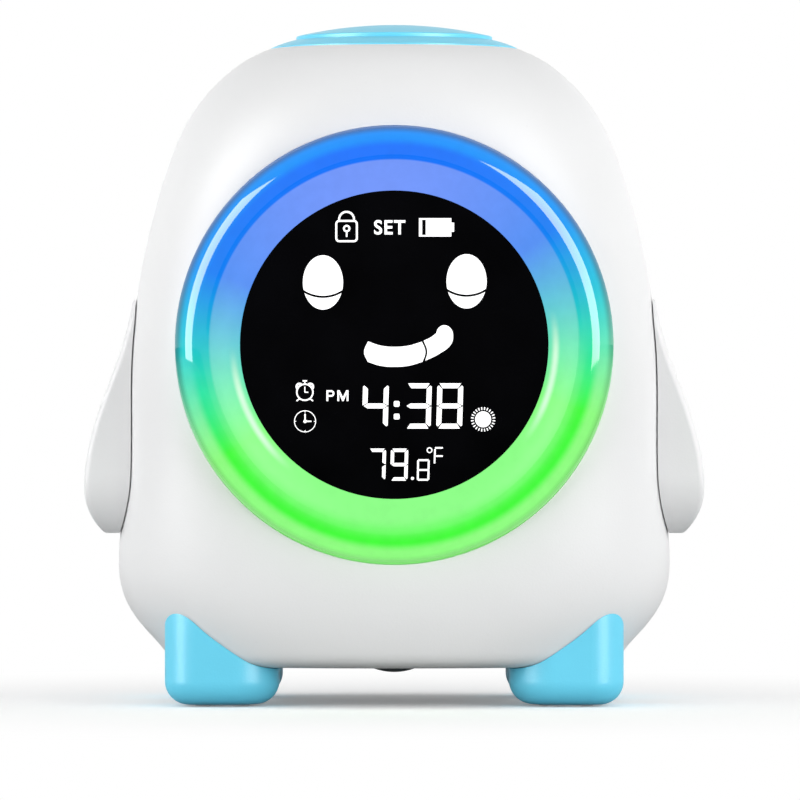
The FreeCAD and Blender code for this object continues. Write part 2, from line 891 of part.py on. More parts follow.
def key(x, z):
    head_length = panel_y + key_proud - key_flange_y
    head = rod(key_radius, Vector(x, key_flange_y, z), back, head_length)
    tip_edges = [edge for edge in head.Edges if edge.BoundBox.YMin > panel_y]
    head = head.makeFillet(key_round, tip_edges)
    flange = rod(key_flange_radius, Vector(x, key_flange_y, z), back, key_flange)
    return head.fuse(flange).removeSplitter()


def key_plunger(x, z):
    bottom = switch_top_y - plunger_root
    return rod(plunger_radius, Vector(x, bottom, z), back, key_flange_y - bottom)


def key_switches():
    switch = switch_body(switch_height)
    return group([to_back(switch, x, board_back_y, z) for x, z in key_places().values()])


def main_board():
    shape = block(-board_half_width, board_half_width, board_y, board_back_y, board_bottom, board_top)
    for side in (-1, 1):
        for z in post_heights:
            start = Vector(side * post_x, board_y, z)
            shape = shape.cut(rod(small_hole_radius, start, back, board_thickness))
    return shape


def board_chips():
    solids = []
    for x, z, width, height, thickness in chips:
        solids.append(block(x - width / 2, x + width / 2, board_y - thickness, board_y,
                            z - height / 2, z + height / 2))
    return group(solids)


def board_screws():
    screws = []
    for side in (-1, 1):
        for z in post_heights:
            seat = Vector(side * post_x, board_y, z)
            screws.append(screw(back, seat, small_screw_radius, small_screw_head_radius,
                                small_screw_head_height, small_screw_length))
    return group(screws)


def usb_socket():
    mouth_y = panel_y - socket_setback
    shell = slot_block(socket_width, socket_height, socket_x, socket_z, board_back_y, mouth_y)
    mouth = slot_block(socket_width - 2 * socket_wall, socket_height - 2 * socket_wall,
                       socket_x, socket_z, mouth_y - socket_depth, mouth_y)
    half_width = socket_tongue_width / 2
    half_height = socket_tongue_thickness / 2
    tongue = block(socket_x - half_width, socket_x + half_width,
                   mouth_y - socket_depth, mouth_y - socket_tongue_setback,
                   socket_z - half_height, socket_z + half_height)
    return shell.cut(mouth).fuse(tongue).removeSplitter()


def switch_housing():
    top_y = board_back_y + housing_depth
    shape = block(slider_x - housing_width / 2, slider_x + housing_width / 2, board_back_y, top_y,
                  slider_z - housing_height / 2, slider_z + housing_height / 2)
    half = (slider_width + slider_travel) / 2 + slider_clearance
    rise = slider_height / 2 + slider_clearance
    return shape.cut(block(slider_x - half, slider_x + half, board_back_y + housing_floor, top_y,
                           slider_z - rise, slider_z + rise))


def power_slider():
    left = slider_x - (slider_width + slider_travel) / 2
    bottom_y = board_back_y + housing_floor + slider_foot_gap
    top_y = panel_y + slider_proud
    low = slider_z - slider_height / 2
    high = slider_z + slider_height / 2
    shape = block(left, left + slider_width, bottom_y, top_y, low, high)
    ridge = slider_width / 5
    for place in (1, 3):
        groove_left = left + place * ridge
        shape = shape.cut(block(groove_left, groove_left + ridge, top_y - slider_proud / 3, top_y, low, high))
    return shape


# Speaker

def speaker_section(points):
    shape = Part.Face(Part.makePolygon(points + points[:1])).revolve(Vector(0, 0, 0), up, 360)
    return to_back(shape, 0, panel_inner_y, grille_z)


def speaker_frame():
    rim_z = -speaker_flange
    deep_z = rim_z - speaker_basket_depth
    slope = speaker_basket_radius - speaker_magnet_radius
    points = [
        Vector(speaker_radius, 0, 0),
        Vector(speaker_basket_radius - speaker_wall, 0, 0),
        Vector(speaker_basket_radius - speaker_wall, 0, rim_z),
        Vector(speaker_basket_radius - speaker_wall - slope, 0, deep_z + speaker_wall),
        Vector(speaker_coil_radius, 0, deep_z + speaker_wall),
        Vector(speaker_coil_radius, 0, deep_z),
        Vector(speaker_magnet_radius, 0, deep_z),
        Vector(speaker_basket_radius, 0, rim_z),
        Vector(speaker_radius, 0, rim_z),
    ]
    return speaker_section(points)


def speaker_magnet():
    deep_y = panel_inner_y - speaker_flange - speaker_basket_depth
    start = Vector(0, deep_y - speaker_magnet_height, grille_z)
    return rod(speaker_magnet_radius, start, back, speaker_magnet_height)


def speaker_cone():
    rim = speaker_basket_radius - speaker_wall
    low = -speaker_flange - speaker_basket_depth + speaker_wall
    thick = speaker_cone_thickness
    points = [
        Vector(rim, 0, -speaker_flange / 2),
        Vector(rim, 0, -speaker_flange / 2 - thick),
        Vector(rim - speaker_roll_width, 0, -speaker_flange / 2 - thick),
        Vector(speaker_coil_radius, 0, low + speaker_coil_lift),
        Vector(0, 0, low + speaker_dome_lift),
        Vector(0, 0, low + speaker_dome_lift + thick),
        Vector(speaker_coil_radius, 0, low + speaker_coil_lift + thick),
        Vector(rim - speaker_roll_width, 0, -speaker_flange / 2),
    ]
    return speaker_section(points)


# Battery

def cell_axis_z():
    return floor_top + cradle_lift + cradle_floor + cell_radius


def battery_cell():
    start = Vector(-cell_length / 2, cell_y, cell_axis_z())
    barrel = rod(cell_radius, start, right, cell_length)
    edges = [edge for edge in barrel.Edges if edge.BoundBox.XLength < 0.01]
    return barrel.makeFillet(cell_round, edges)


def battery_cradle():
    base = floor_top + cradle_lift
    half_length = cell_length / 2 + cradle_clearance
    shape = block(-half_length - cradle_end_wall, half_length + cradle_end_wall,
                  cell_y - cradle_half_width, cell_y + cradle_half_width, base, base + cradle_height)
    start = Vector(-half_length, cell_y, cell_axis_z())
    return shape.cut(rod(cell_radius + cradle_clearance, start, right, 2 * half_length))


def case_screws():
    screws = []
    for x, z in case_screw_places:
        for side in (-1, 1):
            seat = Vector(side * x, case_well_floor_y, z)
            screws.append(screw(-back, seat, screw_radius, screw_head_radius,
                                screw_head_height, case_screw_length))
    return group(screws)


wing = right_wing()
nodes = {
    "front_shell": front_shell(),
    "rear_shell": rear_shell(),
    "right_wing": wing,
    "left_wing": mirrored(wing),
    "light_ring": light_ring(),
    "dial_plate": dial_plate(),
    "led_board": led_board(),
    "ring_leds": ring_leds(),
    "display_cup": display_cup(),
    "display_board": display_board(),
    "display_panel": display_panel(),
    "display_window": display_window(),
    "dial_screws": dial_screws(),
    "top_cap": top_cap(),
    "top_button": top_button(),
    "top_board": top_board(),
    "top_switch": top_switch(),
    "top_plunger": top_plunger(),
    "foot_pads": foot_pads(),
    "foot_screws": foot_screws(),
    "floor_plug": floor_plug(),
    "main_board": main_board(),
    "board_chips": board_chips(),
    "board_screws": board_screws(),
    "key_switches": key_switches(),
    "usb_socket": usb_socket(),
    "switch_housing": switch_housing(),
    "power_slider": power_slider(),
    "speaker_frame": speaker_frame(),
    "speaker_magnet": speaker_magnet(),
    "speaker_cone": speaker_cone(),
    "battery_cell": battery_cell(),
    "battery_cradle": battery_cradle(),
    "wing_screws": wing_screws(),
    "case_screws": case_screws(),
}
foot_names = ("front_left_foot", "front_right_foot", "rear_left_foot", "rear_right_foot")
for name, (x, y) in zip(foot_names, foot_places()):
    nodes[name] = foot(x, y)
for name, (x, z) in key_places().items():
    nodes[name] = key(x, z)
    nodes[name + "_plunger"] = key_plunger(x, z)

for name, shape in nodes.items():
    shape.exportStep("parts/" + name + ".step")
    print(name, len(shape.Solids), round(shape.Volume, 1), shape.isValid())
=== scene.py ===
import math
import bmesh
import bpy
from mathutils import Matrix, Vector


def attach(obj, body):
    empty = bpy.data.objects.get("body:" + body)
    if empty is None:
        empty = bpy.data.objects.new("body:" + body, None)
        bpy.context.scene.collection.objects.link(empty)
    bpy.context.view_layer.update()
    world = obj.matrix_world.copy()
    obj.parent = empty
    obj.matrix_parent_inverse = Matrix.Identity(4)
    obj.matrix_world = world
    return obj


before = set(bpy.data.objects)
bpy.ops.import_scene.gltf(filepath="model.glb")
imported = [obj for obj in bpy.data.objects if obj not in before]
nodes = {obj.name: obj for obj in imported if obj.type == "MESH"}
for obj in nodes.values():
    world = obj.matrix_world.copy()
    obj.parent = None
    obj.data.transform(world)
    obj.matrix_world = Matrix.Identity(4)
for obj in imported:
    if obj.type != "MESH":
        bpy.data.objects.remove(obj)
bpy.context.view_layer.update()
print("frame loaded:", len(nodes), "nodes")


def newMaterial(name):
    material = bpy.data.materials.new(name)
    material.use_nodes = True
    tree = material.node_tree
    shader = tree.nodes["Principled BSDF"]
    return material, tree, shader


def addNode(tree, kind, inputs=None, **settings):
    node = tree.nodes.new(kind)
    for key, value in settings.items():
        setattr(node, key, value)
    for key, value in (inputs or {}).items():
        if isinstance(value, bpy.types.NodeSocket):
            tree.links.new(value, node.inputs[key])
        else:
            node.inputs[key].default_value = value
    return node


def mathNode(tree, operation, first, second=0.0):
    node = tree.nodes.new("ShaderNodeMath")
    node.operation = operation
    for index, value in enumerate((first, second)):
        if isinstance(value, bpy.types.NodeSocket):
            tree.links.new(value, node.inputs[index])
        else:
            node.inputs[index].default_value = value
    return node.outputs[0]


def rampNode(tree, factor, stops):
    # each stop is a place and a colour
    node = tree.nodes.new("ShaderNodeValToRGB")
    ramp = node.color_ramp
    while len(ramp.elements) < len(stops):
        ramp.elements.new(0.5)
    for element, (place, colour) in zip(ramp.elements, stops):
        element.position = place
        element.color = (*colour, 1)
    tree.links.new(factor, node.inputs[0])
    return node.outputs[0]


def rangeNode(tree, value, low, high, newLow=0.0, newHigh=1.0, smooth=False):
    ends = {0: value, 1: low, 2: high, 3: newLow, 4: newHigh}
    node = addNode(tree, "ShaderNodeMapRange", ends)
    if smooth:
        node.interpolation_type = "SMOOTHSTEP"
    return node.outputs[0]


def mixColour(tree, factor, first, second):
    node = addNode(tree, "ShaderNodeMix", data_type="RGBA", blend_type="MIX")
    for index, value in ((0, factor), (6, first), (7, second)):
        if isinstance(value, bpy.types.NodeSocket):
            tree.links.new(value, node.inputs[index])
        elif index == 0:
            node.inputs[0].default_value = value
        else:
            node.inputs[index].default_value = (*value, 1)
    return node.outputs[2]


def objectPlace(tree):
    return addNode(tree, "ShaderNodeTexCoord").outputs["Object"]


def noiseNode(tree, place, scale, detail=3.0, rough=0.5):
    values = {"Vector": place, "Scale": scale, "Detail": detail, "Roughness": rough}
    return addNode(tree, "ShaderNodeTexNoise", values).outputs["Fac"]


def shaded(colour, amount):
    return tuple(min(1.0, part * amount) for part in colour)


def cloudyColour(tree, cloud, colour, low, high):
    # a slow change between a darker and a lighter shade of one colour
    return rampNode(tree, cloud, [(0.3, shaded(colour, low)), (0.7, shaded(colour, high))])


def cloudyGloss(tree, shader, cloud, roughness, below, above):
    # the roughness wanders between two values with the same clouds
    gloss = rangeNode(tree, cloud, 0.3, 0.7, roughness - below, roughness + above)
    tree.links.new(gloss, shader.inputs["Roughness"])
    return gloss


def addBump(tree, shader, height, strength, depth):
    values = {"Height": height, "Strength": strength, "Distance": depth}
    bump = addNode(tree, "ShaderNodeBump", values)
    tree.links.new(bump.outputs[0], shader.inputs["Normal"])


plasticLook = {
    "glossPlaces": (0.25, 0.75),
    "glossSpread": 0.05,
    "speckEdge": (0.03, 0.07),
    "speckShare": 0.6,
    "bumpDepth": 0.0002,
}


def mouldedPlastic(name, look):
    # fine spark texture in the bump, slow cloudiness in colour and gloss, a few handling specks
    material, tree, shader = newMaterial(name)
    place = objectPlace(tree)
    cloud = noiseNode(tree, place, look["cloudScale"], 4)
    grain = noiseNode(tree, place, look["grainScale"], 2)
    colour = cloudyColour(tree, cloud, look["colour"], 1 - look["variation"], 1 + look["variation"])
    specks = addNode(tree, "ShaderNodeTexVoronoi", {"Vector": place, "Scale": look["speckScale"]})
    distance = specks.outputs["Distance"]
    speck = rangeNode(tree, distance, *plasticLook["speckEdge"], plasticLook["speckShare"], 0.0)
    dusty = mixColour(tree, speck, colour, shaded(look["colour"], look["speckTone"]))
    tree.links.new(dusty, shader.inputs["Base Color"])
    smooth, rough = (look["roughness"] + side * plasticLook["glossSpread"] for side in (-1, 1))
    gloss = rangeNode(tree, cloud, *plasticLook["glossPlaces"], smooth, rough)
    tree.links.new(gloss, shader.inputs["Roughness"])
    addBump(tree, shader, grain, look["bump"], plasticLook["bumpDepth"])
    shader.inputs["Specular IOR Level"].default_value = look["specular"]
    return material, tree, shader


shellLook = {
    "colour": (0.86, 0.864, 0.868),
    "variation": 0.012,
    "cloudScale": 28.0,
    "grainScale": 2600.0,
    "speckScale": 210.0,
    "speckTone": 0.97,
    "roughness": 0.40,
    "specular": 0.14,
    "bump": 0.10,
    "seamPlace": 0.012,
    "seamShadowWidth": 0.00016,
    "seamShadowCore": 0.000064,
    "seamShadowTone": 0.42,
}


def makeShellWhite():
    # the parting line between the front and the rear casing is a fine dark line, a painted shadow
    # standing in for the shade in the groove
    material, tree, shader = mouldedPlastic("satinWhite", shellLook)
    place = objectPlace(tree)
    depth = addNode(tree, "ShaderNodeSeparateXYZ", {0: place}).outputs["Y"]
    away = mathNode(tree, "ABSOLUTE", mathNode(tree, "SUBTRACT", depth, shellLook["seamPlace"]))
    # painted shadow: the base colour darkens along the parting line
    seamShadow = rangeNode(tree, away, shellLook["seamShadowCore"], shellLook["seamShadowWidth"], 1.0, 0.0)
    surface = shader.inputs["Base Color"].links[0].from_socket
    tone = shaded(shellLook["colour"], shellLook["seamShadowTone"])
    tree.links.new(mixColour(tree, seamShadow, surface, tone), shader.inputs["Base Color"])
    return material


blueLook = {
    "colour": (0.16, 0.71, 0.95),
    "variation": 0.03,
    "cloudScale": 40.0,
    "grainScale": 2400.0,
    "speckScale": 260.0,
    "speckTone": 0.93,
    "roughness": 0.34,
    "specular": 0.28,
    "bump": 0.12,
}

# places across the ring are shares of its outer radius, and places along it run
# from its top (0) to its bottom (1)
ringLook = {
    "centreHeight": 0.071,
    "outerRadius": 0.0427,
    "crestShare": 0.842,
    "tilt": math.radians(7),
    "cloudScale": 60.0,
    "wander": 0.06,
    "lowerStart": 0.4,
    "lowerEnd": 0.7,
    "roughness": 0.05,
    "glossSpread": 0.02,
    "coneRoughness": 0.42,
    "specular": 0.5,
    "coneSpecular": 0.14,
    "refraction": 1.35,
    "glow": 1.0,
    "ownShade": 0.96,
    "flicker": 0.025,
    "flickerScale": 420.0,
    "bump": 0.03,
    "bumpDepth": 0.0004,
    "colours": [
        (0.0, (0.004, 0.165, 0.93)),
        (0.26, (0.003, 0.205, 0.87)),
        (0.44, (0.012, 0.52, 0.60)),
        (0.56, (0.025, 0.74, 0.36)),
        (0.72, (0.055, 0.92, 0.045)),
        (1.0, (0.055, 0.93, 0.040)),
    ],
    # how much of the pale tone the cone inside the crest gets along the ring, a painted reflection
    "paintedReflectionTone": (1.0, 1.0, 0.95),
    "coneReflectionLift": [(0.0, 0.17), (0.25, 0.09), (0.5, 0.11), (0.75, 0.19), (1.0, 0.21)],
    "crispEdge": 0.004,
    "softOutside": 0.06,
    "softInside": 0.05,
    # a tone and its share for the band near the rim
    "rimTop": ((0.0, 0.9, 1.0), 0.15),
    "rimBottom": ((1.0, 1.0, 0.8), 0.22),
    "rimStart": 0.90,
    "rimFull": 0.945,
    # how bright the outermost edge is at the top and at the bottom
    "edgeShades": (0.36, 0.66),
    "edgeStart": 0.96,
    "edgeFull": 0.995,
    # two faint painted highlights low on the sides of the cone, standing in for reflected lamps
    "paintedGleamFrom": (0.44, 0.60),
    "paintedGleamTo": (0.86, 0.72),
    "paintedGleamPlace": 0.735,
    "paintedGleamWidth": 0.024,
    "paintedGleamTone": (0.70, 0.97, 0.74),
    "paintedGleamShare": 0.85,
}


def makeRingDiffuser():
    # lit from behind: the colour turns from blue at the top to green at the bottom, with a painted
    # reflection on the cone and two painted highlights mixed into the glow
    material, tree, shader = newMaterial("litDiffuser")
    look = ringLook
    place = objectPlace(tree)
    parts = addNode(tree, "ShaderNodeSeparateXYZ", {0: place})
    across = parts.outputs["X"]
    height = mathNode(tree, "SUBTRACT", parts.outputs["Z"], look["centreHeight"])
    squares = [mathNode(tree, "MULTIPLY", side, side) for side in (across, height)]
    radius = mathNode(tree, "SQRT", mathNode(tree, "ADD", *squares))
    upward = mathNode(tree, "MULTIPLY", height, math.cos(look["tilt"]))
    sideways = mathNode(tree, "MULTIPLY", across, math.sin(look["tilt"]))
    along = mathNode(tree, "DIVIDE", mathNode(tree, "SUBTRACT", upward, sideways), radius)
    cloud = noiseNode(tree, place, look["cloudScale"], 2)
    wander = mathNode(tree, "MULTIPLY", mathNode(tree, "SUBTRACT", cloud, 0.5), look["wander"])
    turn = rangeNode(tree, mathNode(tree, "ADD", along, wander), 1.0, -1.0)
    lower = rangeNode(tree, turn, look["lowerStart"], look["lowerEnd"], smooth=True)
    share = mathNode(tree, "DIVIDE", radius, look["outerRadius"])
    deep = rampNode(tree, turn, look["colours"])

    # the cone inside the crest is painted paler as a painted reflection, with a crisp start above
    # and a soft one below
    crest = look["crestShare"]
    crisp = rangeNode(tree, share, crest + look["crispEdge"], crest - look["crispEdge"])
    softStart, softFull = crest + look["softOutside"], crest - look["softInside"]
    soft = rangeNode(tree, share, softStart, softFull, smooth=True)
    cone = addNode(tree, "ShaderNodeMix", {0: lower, 2: crisp, 3: soft}).outputs[0]
    coneReflectionLift = rampNode(tree, turn, [(stop, (lift, lift, lift)) for stop, lift in look["coneReflectionLift"]])
    coneReflectionShare = mathNode(tree, "MULTIPLY", cone, coneReflectionLift)

    topTone, topLift = look["rimTop"]
    lowTone, lowLift = look["rimBottom"]
    rimLift = rangeNode(tree, lower, 0.0, 1.0, topLift, lowLift)
    nearRim = rangeNode(tree, share, look["rimStart"], look["rimFull"], smooth=True)
    rim = mathNode(tree, "MULTIPLY", nearRim, rimLift)
    rimmed = mixColour(tree, rim, deep, mixColour(tree, lower, topTone, lowTone))
    # painted reflection: the cone takes on the pale tone
    withPaintedReflection = mixColour(tree, coneReflectionShare, rimmed, look["paintedReflectionTone"])

    # painted highlight: a narrow pale band at one radius, only low on the two sides
    away = mathNode(tree, "ABSOLUTE", mathNode(tree, "SUBTRACT", share, look["paintedGleamPlace"]))
    paintedGleam = rangeNode(tree, away, look["paintedGleamWidth"], 0.0, smooth=True)
    for stretch in ("paintedGleamFrom", "paintedGleamTo"):
        there = rangeNode(tree, turn, *look[stretch], smooth=True)
        paintedGleam = mathNode(tree, "MULTIPLY", paintedGleam, there)
    paintedGleam = mathNode(tree, "MULTIPLY", paintedGleam, look["paintedGleamShare"])
    # the glow colour carries the painted reflection and the painted highlights
    glowWithPaintedLight = mixColour(tree, paintedGleam, withPaintedReflection, look["paintedGleamTone"])

    shade = rangeNode(tree, lower, 0.0, 1.0, *look["edgeShades"])
    rimEnd = rangeNode(tree, share, look["edgeStart"], look["edgeFull"], smooth=True)
    edge = addNode(tree, "ShaderNodeMix", {0: rimEnd, 2: 1.0, 3: shade}).outputs[0]
    hot = noiseNode(tree, place, look["flickerScale"], 2)
    flicker = rangeNode(tree, hot, 0.3, 0.7, 1 - look["flicker"], 1 + look["flicker"])
    strength = mathNode(tree, "MULTIPLY", mathNode(tree, "MULTIPLY", edge, flicker), look["glow"])
    unlit = mixColour(tree, look["ownShade"], glowWithPaintedLight, (0.0, 0.0, 0.0))
    tree.links.new(unlit, shader.inputs["Base Color"])
    tree.links.new(glowWithPaintedLight, shader.inputs["Emission Color"])
    tree.links.new(strength, shader.inputs["Emission Strength"])

    # the cone is matt and the outside is glossy
    spread = look["glossSpread"]
    gloss = cloudyGloss(tree, shader, cloud, look["roughness"], spread, spread)
    matt = mathNode(tree, "MULTIPLY", crisp, look["coneRoughness"] - look["roughness"])
    tree.links.new(mathNode(tree, "ADD", gloss, matt), shader.inputs["Roughness"])
    shader.inputs["IOR"].default_value = look["refraction"]
    specular = rangeNode(tree, crisp, 0.0, 1.0, look["specular"], look["coneSpecular"])
    tree.links.new(specular, shader.inputs["Specular IOR Level"])
    addBump(tree, shader, cloud, look["bump"], look["bumpDepth"])
    return material


windowLook = {
    "colour": (0.0015, 0.0015, 0.002),
    "shades": (0.7, 1.4),
    "hazeScale": 90.0,
    "roughness": 0.09,
    "glossSpread": 0.03,
    "specular": 0.008,
    "bump": 0.02,
    "bumpDepth": 0.0002,
}


def makeWindowBlack():
    material, tree, shader = newMaterial("smokedWindow")
    look = windowLook
    haze = noiseNode(tree, objectPlace(tree), look["hazeScale"], 4)
    colour = cloudyColour(tree, haze, look["colour"], *look["shades"])
    tree.links.new(colour, shader.inputs["Base Color"])
    cloudyGloss(tree, shader, haze, look["roughness"], look["glossSpread"], look["glossSpread"])
    addBump(tree, shader, haze, look["bump"], look["bumpDepth"])
    shader.inputs["Specular IOR Level"].default_value = look["specular"]
    return material


# for each metal its colour, its roughness and how fine its brushing is
steelLook = {
    "screw": ((0.56, 0.56, 0.58), 0.34, 900.0),
    "socket": ((0.66, 0.66, 0.68), 0.22, 700.0),
    "magnet": ((0.16, 0.16, 0.17), 0.55, 1400.0),
    "stretch": (1, 0.12, 1),
    "shades": (0.82, 1.08),
    "glossBelow": 0.08,
    "glossAbove": 0.1,
    "bump": 0.15,
    "bumpDepth": 0.0001,
}


def makeSteel(name, kind):
    material, tree, shader = newMaterial(name)
    look = steelLook
    colour, roughness, scale = look[kind]
    place = {"Vector": objectPlace(tree), "Scale": look["stretch"]}
    stretched = addNode(tree, "ShaderNodeMapping", place).outputs[0]
    brush = noiseNode(tree, stretched, scale, 4, 0.6)
    tone = cloudyColour(tree, brush, colour, *look["shades"])
    tree.links.new(tone, shader.inputs["Base Color"])
    cloudyGloss(tree, shader, brush, roughness, look["glossBelow"], look["glossAbove"])
    addBump(tree, shader, brush, look["bump"], look["bumpDepth"])
    shader.inputs["Metallic"].default_value = 1.0
    return material


# for each CAD material its new name, colour, roughness and grain
smallFinishes = {
    "inner_white": ("matWhite", (0.74, 0.74, 0.73), 0.55, 0.2),
    "inner_black": ("matBlack", (0.02, 0.02, 0.022), 0.5, 0.2),
    "led_chip": ("clearResin", (0.86, 0.82, 0.55), 0.2, 0.05),
    "chip_black": ("chipBody", (0.03, 0.03, 0.03), 0.5, 0.3),
    "rubber_grey": ("greyRubber", (0.10, 0.125, 0.135), 0.42, 0.25),
    "rubber_white": ("paleRubber", (0.78, 0.79, 0.80), 0.5, 0.25),
    "cell_wrap": ("cellFilm", (0.05, 0.2, 0.5), 0.25, 0.06),
    "speaker_metal": ("basketPaint", (0.04, 0.04, 0.045), 0.45, 0.2),
    "cone_black": ("conePaper", (0.035, 0.035, 0.04), 0.6, 0.5),
}


def makeSmallFinish(name, colour, roughness, bump):
    look = {
        "colour": colour,
        "variation": 0.05,
        "cloudScale": 120.0,
        "grainScale": 2000.0,
        "speckScale": 400.0,
        "speckTone": 1.1,
        "roughness": roughness,
        "specular": 0.5,
        "bump": bump,
    }
    return mouldedPlastic(name, look)[0]


boardLook = {
    "mask": (0.02, 0.13, 0.05),
    "track": (0.05, 0.24, 0.10),
    "pitch": 0.0016,
    "trackEdge": (0.42, 0.46),
    "roughness": 0.35,
    "bump": 0.4,
    "bumpDepth": 0.00003,
}


def makeBoardGreen():
    material, tree, shader = newMaterial("solderMask")
    place = objectPlace(tree)
    pitch = {"Vector": place, "Scale": 1 / boardLook["pitch"]}
    cells = addNode(tree, "ShaderNodeTexVoronoi", pitch, distance="MANHATTAN")
    lines = rangeNode(tree, cells.outputs["Distance"], *boardLook["trackEdge"])
    tracks = mixColour(tree, lines, boardLook["mask"], boardLook["track"])
    tree.links.new(tracks, shader.inputs["Base Color"])
    addBump(tree, shader, lines, boardLook["bump"], boardLook["bumpDepth"])
    shader.inputs["Roughness"].default_value = boardLook["roughness"]
    return material


finishes = {
    "white_shell": makeShellWhite(),
    "blue_plastic": mouldedPlastic("satinBlue", blueLook)[0],
    "ring_diffuser": makeRingDiffuser(),
    "window_black": makeWindowBlack(),
    "circuit_board": makeBoardGreen(),
    "screw_steel": makeSteel("zincSteel", "screw"),
    "socket_steel": makeSteel("brightSteel", "socket"),
    "magnet_grey": makeSteel("sinteredMagnet", "magnet"),
}
for slotName, look in smallFinishes.items():
    finishes[slotName] = makeSmallFinish(*look)
for node in nodes.values():
    for materialSlot in node.material_slots:
        materialSlot.material = finishes[materialSlot.material.name.split(".")[0]]
print("finishes on", len(nodes), "nodes")


displayLook = {
    "centreHeight": 0.071,
    "frontY": -0.04060,
    "markDepth": 0.00004,
    "colour": (1.0, 1.0, 1.0),
    "ownColour": (0.5, 0.5, 0.5),
    "brightness": 1.0,
    "dimmest": 0.97,
    "cloudScale": 900.0,
    "roughness": 0.3,
    "glossSpread": 0.05,
}


def makeLitMark():
    material, tree, shader = newMaterial("litMark")
    look = displayLook
    cloud = noiseNode(tree, objectPlace(tree), look["cloudScale"], 2)
    shader.inputs["Base Color"].default_value = (*look["ownColour"], 1)
    shader.inputs["Emission Color"].default_value = (*look["colour"], 1)
    dimmest = look["brightness"] * look["dimmest"]
    strength = rangeNode(tree, cloud, 0.3, 0.7, dimmest, look["brightness"])
    tree.links.new(strength, shader.inputs["Emission Strength"])
    cloudyGloss(tree, shader, cloud, look["roughness"], look["glossSpread"], look["glossSpread"])
    return material


litMark = makeLitMark()


# marks are drawn flat on X and Z, in millimetres round the middle of the window or of their key
def plateFace(bm, points, rounding=0.0):
    corners = [bm.verts.new((x, 0, z)) for x, z in points]
    face = bm.faces.new(corners)
    face.normal_update()
    if face.normal.y > 0:
        face.normal_flip()
    if rounding:
        bmesh.ops.bevel(bm, geom=corners, offset=rounding, offset_type="OFFSET", affect="VERTICES",
                        segments=4, profile=0.5, material=-1)


def boxFace(bm, left, bottom, right, top, rounding=0.0):
    plateFace(bm, [(left, bottom), (right, bottom), (right, top), (left, top)], rounding)


def discFace(bm, centre, radius, sides=48, stretch=1.0):
    upright = Matrix.Diagonal((1, 1, stretch, 1)) @ Matrix.Rotation(math.pi / 2, 4, "X")
    place = Matrix.Translation((centre[0], 0, centre[1])) @ upright
    bmesh.ops.create_circle(bm, cap_ends=True, segments=sides, radius=radius, matrix=place)


def sweptBand(bm, centre, inner, outer, start, angle, steps=32):
    # a flat band: an edge from the inner to the outer radius, spun in the display's plane
    direction = Vector((math.cos(start), 0, math.sin(start)))
    middle = Vector((centre[0], 0, centre[1]))
    ends = [bm.verts.new(middle + direction * inner), bm.verts.new(middle + direction * outer)]
    edge = bm.edges.new(ends)
    bmesh.ops.spin(bm, geom=ends + [edge], cent=middle, axis=(0, -1, 0), angle=angle, steps=steps,
                   use_merge=angle == math.tau, use_duplicate=False)


def fullRing(bm, centre, inner, outer, steps=32):
    sweptBand(bm, centre, inner, outer, 0, math.tau, steps)


def barBetween(bm, start, end, width):
    first, last = Vector(start), Vector(end)
    along = (last - first).normalized()
    side = Vector((-along.y, along.x)) * width / 2
    plateFace(bm, [first + side, first - side, last - side, last + side], width * 0.3)


def onDisplay(lift=0.0):
    return Matrix.Translation((0, displayLook["frontY"] - lift, displayLook["centreHeight"]))


def onBack(x, depth, z):
    return Matrix.Translation((x, depth, z)) @ Matrix.Rotation(math.pi, 4, "Z")


def finishMark(bm, name, body="clock", material=None, place=None):
    # gives flat faces their thickness towards the viewer, and puts them where they belong
    bmesh.ops.remove_doubles(bm, verts=bm.verts, dist=0.0005)
    bmesh.ops.recalc_face_normals(bm, faces=bm.faces)
    for face in bm.faces:
        if face.normal.y > 0:
            face.normal_flip()
    bmesh.ops.scale(bm, vec=(0.001, 0.001, 0.001), verts=bm.verts)
    grown = bmesh.ops.extrude_face_region(bm, geom=list(bm.faces), use_keep_orig=True)
    moved = [item for item in grown["geom"] if isinstance(item, bmesh.types.BMVert)]
    bmesh.ops.translate(bm, verts=moved, vec=(0, -displayLook["markDepth"], 0))
    bmesh.ops.recalc_face_normals(bm, faces=bm.faces)
    bmesh.ops.transform(bm, matrix=place or onDisplay(), verts=bm.verts)
    mesh = bpy.data.meshes.new(name)
    bm.to_mesh(mesh)
    bm.free()
    piece = bpy.data.objects.new(name, mesh)
    bpy.context.collection.objects.link(piece)
    mesh.materials.append(material or litMark)
    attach(piece, body)
    return piece


segmentsOf = {
    "0": "abcdef", "1": "bc", "2": "abged", "3": "abgcd", "4": "fgbc",
    "5": "afgcd", "6": "afgedc", "7": "abc", "8": "abcdefg", "9": "abcdfg",
}


